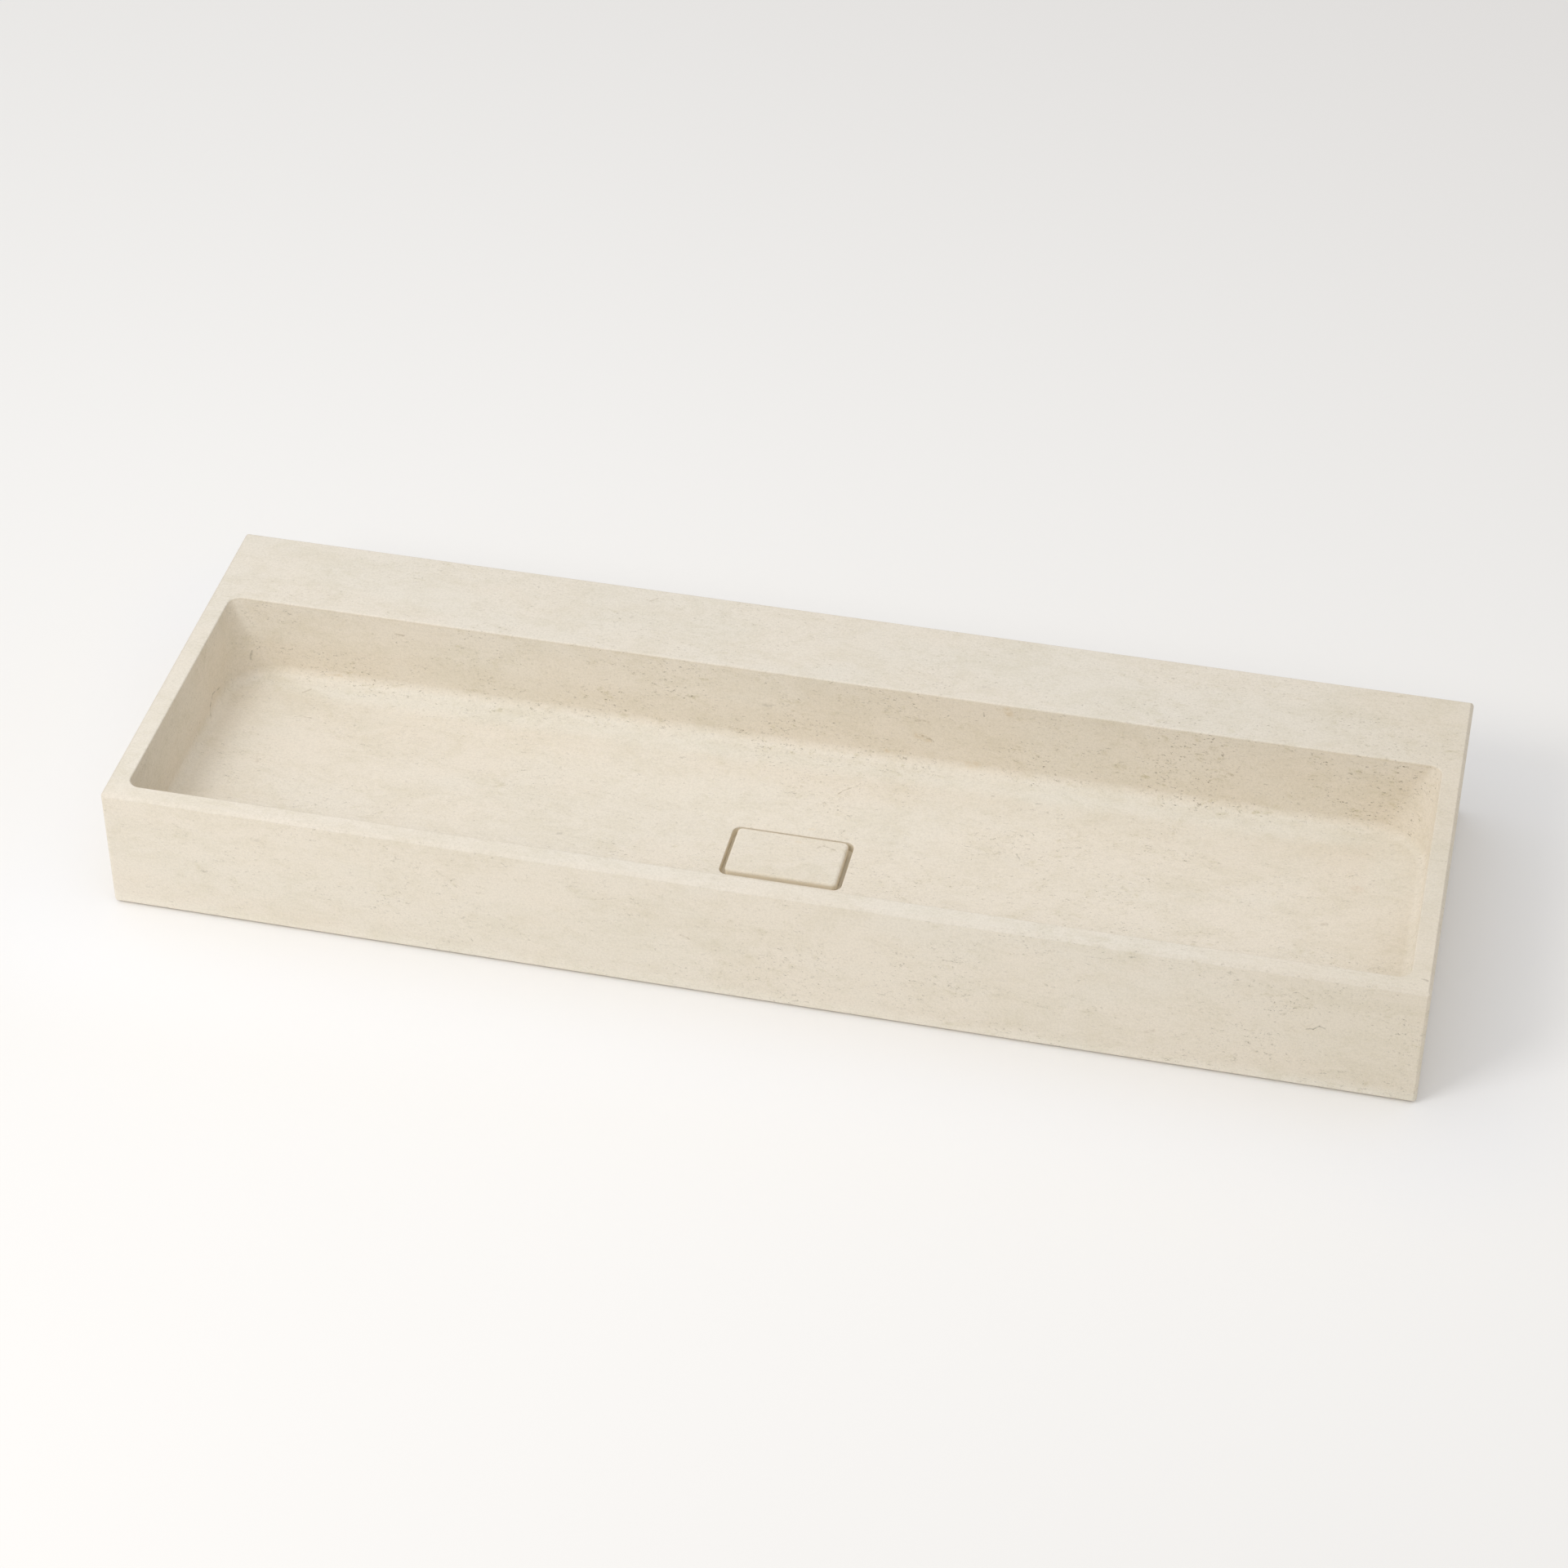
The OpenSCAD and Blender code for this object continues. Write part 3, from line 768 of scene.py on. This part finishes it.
def painted_edge_shade(paint):
    """How much painted shade the chamfers round the top and the right end get."""
    x, y, z = paint.parts(paint.place())
    to_end = paint.math("SUBTRACT", BODY_L / 2, paint.math("ABSOLUTE", x))
    to_front = paint.math("SUBTRACT", BODY_D / 2, paint.math("ABSOLUTE", y))
    to_top = paint.math("SUBTRACT", BODY_H, z)
    to_corner = paint.math("ADD", paint.math("MINIMUM", to_end, to_front), to_top)
    fade_start = EDGE_CHAMFER + CHAMFER_MARGIN
    chamfer = paint.ramp(to_corner, fade_start, fade_start + CHAMFER_FADE, CHAMFER_SHADE_SHARE, 0)
    right_end = paint.ramp(to_end, *RIGHT_END_BAND, RIGHT_END_SHADE_SHARE, 0)
    right_end = paint.product(right_end, paint.math("GREATER_THAN", x, 0.0))
    return paint.math("MAXIMUM", chamfer, right_end)


def in_trough(paint, x, y, z):
    """1 on the trough's walls and floor, and 0 on the block's outside and in the drain."""
    between_ends = paint.ramp(paint.math("ABSOLUTE", x), TROUGH_A + UNDER_SKIN, TROUGH_A + DEEP, 1, 0)
    before_deck = paint.ramp(y, REAR_WALL_Y + UNDER_SKIN, REAR_WALL_Y + DEEP, 1, 0)
    return paint.product(between_ends, before_deck, paint.ramp(z, *PAINTED_LIGHT_TROUGH_BOTTOM))


def painted_light_and_shade(paint):
    """Painted light and shade: a colour close to white that the stone's colour is multiplied by."""
    x, y, z = paint.parts(paint.place())
    inside = in_trough(paint, x, y, z)
    on_top = paint.ramp(z, BODY_H - DEEP, BODY_H - UNDER_SKIN)
    below_top = paint.ramp(z, BODY_H - DEEP, BODY_H - UNDER_SKIN, 1, 0)
    in_front = paint.ramp(y, UNDER_SKIN - BODY_D / 2, DEEP - BODY_D / 2, 1, 0)
    to_right = paint.ramp(x, PAINTED_SHADE_RIGHT_START, BODY_L / 2)
    right = paint.product(paint.math("MAXIMUM", on_top, in_front), to_right)
    low_front = paint.product(in_front, paint.ramp(z, *PAINTED_LIGHT_LOW_FRONT_TOP, 1, 0))
    rear_left = paint.product(paint.ramp(y, *PAINTED_LIGHT_REAR_LEFT_Y), below_top,
                              paint.ramp(z, *PAINTED_LIGHT_REAR_LEFT_Z),
                              paint.ramp(x, *PAINTED_LIGHT_REAR_LEFT_X, 1, 0), inside)
    rear_foot = paint.ramp(y, *PAINTED_LIGHT_FOOT_REAR)
    right_foot = paint.product(paint.ramp(x, *PAINTED_LIGHT_FOOT_RIGHT), paint.ramp(y, *PAINTED_LIGHT_FOOT_RIGHT_REAR))
    foot = paint.product(paint.math("MAXIMUM", rear_foot, right_foot),
                         paint.ramp(z, *PAINTED_LIGHT_FOOT_TOP, 1, 0), inside)
    colour = paint.mix(right, TONE_PLAIN, PAINTED_SHADE_RIGHT)
    colour = paint.mix(low_front, colour, PAINTED_LIGHT_LOW_FRONT)
    colour = paint.mix(rear_left, colour, PAINTED_LIGHT_REAR_LEFT)
    return paint.mix(foot, colour, PAINTED_LIGHT_FOOT)


def in_gap(paint, top):
    """How strongly a point lies in the gap round the cover and below the height top, from 0 to 1."""
    offset = paint.vector_math("SUBTRACT", paint.place(), Vector((0, TROUGH_Y, 0)))
    inside = paint.vector_math("SUBTRACT", Vector((POCKET_L / 2, POCKET_D / 2, 0)),
                               paint.vector_math("ABSOLUTE", offset))
    to_side, to_front, _ = paint.parts(inside)
    height = paint.parts(offset)[2]
    within = paint.math("GREATER_THAN", paint.math("MINIMUM", to_side, to_front), -GAP_EDGE)
    above_seat = paint.math("GREATER_THAN", height, GAP_BOTTOM)
    low = paint.ramp(height, top - GAP_FADE, top, 1, 0)
    return paint.product(within, above_seat, low)


def make_stone(name, marks, gap_top, shift=(0, 0, 0)):
    """Honed limestone: cream tints, clay clouds and smudges, dark flecks, dots and grit, and placed marks,
    with painted shade on the chamfers and right end, painted light and shade by place, and painted bounce
    light in the gap round the cover.
    """
    paint = Paint(name)
    bed = paint.place(STONE_BED, shift)
    even = paint.place((1, 1, 1), shift)

    tint = paint.noise(bed, *TINT_NOISE)
    cloud = paint.noise(bed, *CLOUD_NOISE)
    grit = paint.noise(even, *GRIT_NOISE)
    clusters = paint.ramp(paint.noise(bed, *CLUSTER_NOISE), *CLUSTER_LEVELS, CLUSTER_SPARSEST, 1.0)
    density = paint.product(clusters, speckling(paint))
    smudge = paint.ramp(paint.noise(bed, *SMUDGE_NOISE), *SMUDGE_LEVELS)
    fleck = paint.ramp(paint.noise(bed, *FLECK_NOISE), *FLECK_LEVELS)
    dots = round_dots(paint, bed, density)

    pale = paint.mix(paint.ramp(tint, *TINT_LEVELS), STONE_COOL, STONE_WARM)
    clay = paint.math("MULTIPLY_ADD", cloud, -STONE_CLOUDING, STONE_CLOUDING / 2 + STONE_BASE_SHADE)
    clay = paint.math("MULTIPLY_ADD", paint.product(smudge, density), STONE_SMUDGE, clay)
    colour = paint.mix(clay, pale, STONE_CLAY)
    grains = paint.product(fleck, STONE_FLECK)
    grains = paint.math("MULTIPLY_ADD", dots, STONE_DOT, grains)
    grains = paint.product(grains, density)
    fine = paint.math("MULTIPLY_ADD", grit, -STONE_GRIT, STONE_GRIT * STONE_GRIT_LEVEL)
    colour = paint.mix(paint.math("ADD", grains, fine), colour, STONE_SPECK)

    colour = add_marks(paint, even, colour, marks)
    # Painted shade on the chamfers round the top and on the right end
    colour = paint.mix(painted_edge_shade(paint), colour, STONE_PAINTED_SHADE)
    # Painted light and shade by place: darker to the right, paler at the walls' foot, low on the front and
    # high on the rear wall's left
    colour = paint.vector_math("MULTIPLY", colour, painted_light_and_shade(paint))
    # Painted bounce light in the gap round the cover
    colour = paint.mix(paint.product(in_gap(paint, gap_top), GAP_PAINTED_LIGHT_SHARE), colour, GAP_PAINTED_LIGHT)

    relief = paint.noise(even, *RELIEF_NOISE)
    relief = paint.math("SUBTRACT", relief, paint.product(fleck, STONE_FLECK_PIT))
    paint.bump(relief, STONE_RELIEF)
    roughness = paint.ramp(cloud, *MIDDLE_LEVELS, *STONE_ROUGHNESS)
    paint.surface(Base_Color=colour, Roughness=roughness, Specular_IOR_Level=STONE_SPECULAR)
    return paint.material


# ---------------------------------------------------------------- fittings

def make_metal(name, colour, stain, grain, roughness, wear=0.35, depth=0.006 * MM):
    """Metal with fine tool marks: grain stretches them, and stain clouds the colour in soft patches."""
    paint = Paint(name)
    lines = paint.noise(paint.place(grain), *TOOL_MARK_NOISE)
    patches = paint.noise(paint.place(), *METAL_PATCH_NOISE)
    spots = paint.noise(paint.place(), *METAL_SPOT_NOISE)
    stained = paint.ramp(patches, *METAL_PATCH_LEVELS, 0, wear)
    stained = paint.math("MULTIPLY_ADD", paint.ramp(spots, *METAL_SPOT_LEVELS), METAL_SPOT_SHARE, stained)
    worked = paint.ramp(lines, *MIDDLE_LEVELS, *roughness)
    dull = paint.math("MULTIPLY_ADD", stained, METAL_STAIN_DULLS, worked)
    paint.bump(lines, depth)
    paint.surface(Base_Color=paint.mix(stained, colour, stain), Metallic=1.0, Roughness=dull)
    return paint.material


def make_soft(name, pale, deep, per_metre, roughness, depth):
    """Rubber, foam or fibre: a matt skin with fine pores and a slightly uneven colour."""
    paint = Paint(name)
    pores = paint.noise(paint.place(), per_metre, *PORE_DETAIL)
    uneven = paint.noise(paint.place(), *UNEVEN_NOISE)
    shade = paint.math("MULTIPLY_ADD", paint.ramp(pores, *PORE_LEVELS), PORE_SHARE,
                       paint.ramp(uneven, *UNEVEN_LEVELS, 0, UNEVEN_SHARE))
    paint.bump(pores, depth)
    paint.surface(Base_Color=paint.mix(shade, pale, deep),
                  Roughness=paint.ramp(pores, *MIDDLE_LEVELS, *roughness),
                  Specular_IOR_Level=SOFT_SPECULAR)
    return paint.material


def dress(piece, material):
    piece.data.materials.clear()
    piece.data.materials.append(material)


def dress_fittings():
    rubber = make_soft("moulded_rubber", pale=(0.038, 0.038, 0.040), deep=(0.018, 0.018, 0.019),
                       per_metre=900, roughness=(0.60, 0.78), depth=0.03 * MM)
    foam = make_soft("pale_foam", pale=(0.70, 0.70, 0.67), deep=(0.44, 0.43, 0.40),
                     per_metre=1500, roughness=(0.80, 0.95), depth=0.08 * MM)
    fibre = make_soft("slip_fibre", pale=(0.73, 0.70, 0.62), deep=(0.55, 0.51, 0.43),
                      per_metre=700, roughness=(0.55, 0.75), depth=0.02 * MM)
    brushed = make_metal("brushed_steel", colour=(0.62, 0.62, 0.61), stain=(0.42, 0.40, 0.36),
                         grain=(1, 14, 14), roughness=(0.24, 0.40))
    turned = make_metal("turned_steel", colour=(0.60, 0.60, 0.60), stain=(0.40, 0.38, 0.35),
                        grain=(8, 8, 20), roughness=(0.18, 0.32))
    chrome = make_metal("polished_chrome", colour=(0.76, 0.77, 0.78), stain=(0.60, 0.60, 0.58),
                        grain=(3, 3, 12), roughness=(0.05, 0.12), wear=0.2, depth=0.002 * MM)
    brass = make_metal("machined_brass", colour=(0.72, 0.53, 0.25), stain=(0.40, 0.25, 0.10),
                       grain=(4, 4, 16), roughness=(0.22, 0.38), wear=0.45)
    anchor = make_metal("anchor_steel", colour=(0.56, 0.56, 0.56), stain=(0.36, 0.34, 0.31),
                        grain=(4, 20, 4), roughness=(0.26, 0.42))
    finishes = {
        "cover_feet": rubber,
        "lower_gasket": rubber,
        "flange_gasket": foam,
        "friction_washer": fibre,
        "strainer_grid": brushed,
        "grid_screw": turned,
        "waste_body": chrome,
        "lock_nut": brass,
        "wall_inserts": anchor,
    }
    for node, finish in finishes.items():
        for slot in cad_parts[node].material_slots:
            slot.material = finish


# ---------------------------------------------------------------- scene

def make_camera():
    data = bpy.data.cameras.new("camera")
    data.sensor_fit = "HORIZONTAL"
    data.sensor_width = CAMERA_SENSOR_MM
    data.lens = CAMERA_LENS_MM
    data.shift_x = -HALF_PIXEL
    data.shift_y = HALF_PIXEL
    data.clip_start = CAMERA_NEAREST
    data.clip_end = CAMERA_FARTHEST
    forward = Vector((math.sin(CAMERA_YAW) * math.cos(CAMERA_PITCH),
                      math.cos(CAMERA_YAW) * math.cos(CAMERA_PITCH), -math.sin(CAMERA_PITCH)))
    level = Vector((math.cos(CAMERA_YAW), -math.sin(CAMERA_YAW), 0))
    up = level.cross(forward)
    right = level * math.cos(CAMERA_ROLL) + up * math.sin(CAMERA_ROLL)
    above = up * math.cos(CAMERA_ROLL) - level * math.sin(CAMERA_ROLL)
    facing = Matrix((right, above, -forward)).transposed().to_4x4()
    camera = bpy.data.objects.new("camera", data)
    camera.matrix_world = Matrix.Translation(CAMERA_AT) @ facing
    bpy.context.collection.objects.link(camera)
    bpy.context.scene.camera = camera


def floor_colour_and_painted_light(paint):
    """The floor's colour with painted light: a painted pool by the distance away from the front, and painted
    cooler close beside the sink.
    """
    away = paint.vector_math("DOT_PRODUCT", paint.place(), FLOOR_AWAY, output="Value")
    # Painted pool of light: palest behind the sink, greyer in front and far behind
    colour = paint.mix(paint.ramp(away, FLOOR_NEAR_END, FLOOR_PALEST), FLOOR_NEAR, FLOOR_BEHIND_PAINTED_LIGHT)
    colour = paint.mix(paint.ramp(away, FLOOR_PALEST, FLOOR_FAR_END), colour, FLOOR_FAR)
    # Painted light beside the sink: cooler, against the stone's warm bounce
    outside = paint.vector_math("SUBTRACT", paint.vector_math("ABSOLUTE", paint.place()),
                                Vector((BODY_L / 2, BODY_D / 2, 0)))
    outside = paint.vector_math("MAXIMUM", outside, Vector((0, 0, 0)))
    distance = paint.vector_math("LENGTH", outside, output="Value")
    beside = paint.ramp(distance, FLOOR_BESIDE_START, FLOOR_BESIDE_REACH, FLOOR_BESIDE_SHARE, 0)
    return paint.mix(beside, colour, FLOOR_BESIDE_PAINTED_LIGHT)


def make_floor():
    bm = bmesh.new()
    bmesh.ops.create_grid(bm, x_segments=1, y_segments=1, size=FLOOR_HALF_SIZE)
    mesh = bpy.data.meshes.new("studio_floor")
    bm.to_mesh(mesh)
    bm.free()
    floor = bpy.data.objects.new("studio_floor", mesh)
    bpy.context.collection.objects.link(floor)
    paint = Paint("floor_paint")
    paint.surface(Base_Color=floor_colour_and_painted_light(paint), Roughness=FLOOR_ROUGHNESS, Specular_IOR_Level=0.0)
    dress(floor, paint.material)


def make_sky():
    """A soft white surround, brightest overhead, weaker at the sides and faint in front."""
    world = bpy.data.worlds.new("studio")
    world.use_nodes = True
    nodes = world.node_tree.nodes
    links = world.node_tree.links
    direction = nodes.new("ShaderNodeTexCoord").outputs["Generated"]
    total = None
    for aim, strength in SKY_LOBES:
        lobe = nodes.new("ShaderNodeVectorMath")
        lobe.operation = "DOT_PRODUCT"
        lobe.inputs[1].default_value = aim
        links.new(direction, lobe.inputs[0])
        facing = nodes.new("ShaderNodeMath")
        facing.operation = "MAXIMUM"
        facing.inputs[1].default_value = 0
        links.new(lobe.outputs["Value"], facing.inputs[0])
        added = nodes.new("ShaderNodeMath")
        added.operation = "MULTIPLY_ADD"
        added.inputs[1].default_value = strength
        added.inputs[2].default_value = 0
        links.new(facing.outputs["Value"], added.inputs[0])
        if total:
            links.new(total, added.inputs[2])
        total = added.outputs["Value"]
    background = nodes["Background"]
    background.inputs["Color"].default_value = (*LIGHT_TINT, 1)
    links.new(total, background.inputs["Strength"])
    bpy.context.scene.world = world


def make_key():
    """The soft lamp, which faces the sink."""
    away = Vector((-math.sin(KEY_TURN) * math.cos(KEY_RISE), -math.cos(KEY_TURN) * math.cos(KEY_RISE),
                   math.sin(KEY_RISE)))
    data = bpy.data.lights.new("key", "AREA")
    data.shape = "SQUARE"
    data.size = KEY_SIZE
    data.energy = KEY_WATTS
    data.color = LIGHT_TINT
    lamp = bpy.data.objects.new("key", data)
    lamp.location = KEY_AIM + KEY_DISTANCE * away
    lamp.rotation_euler = (-away).to_track_quat("-Z", "Y").to_euler()
    bpy.context.collection.objects.link(lamp)


bpy.context.scene.view_settings.view_transform = "Standard"
make_camera()
make_floor()
make_sky()
make_key()

basin = make_basin()
dress(basin, make_stone("basin_limestone", BASIN_MARKS, BASIN_GAP_TOP))
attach(basin, "basin")
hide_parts("basin")

cover = make_cover()
dress(cover, make_stone("cover_limestone", COVER_MARKS, COVER_GAP_TOP, COVER_STONE_SHIFT))
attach(cover, "cover")
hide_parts("drain_cover")

dress_fittings()
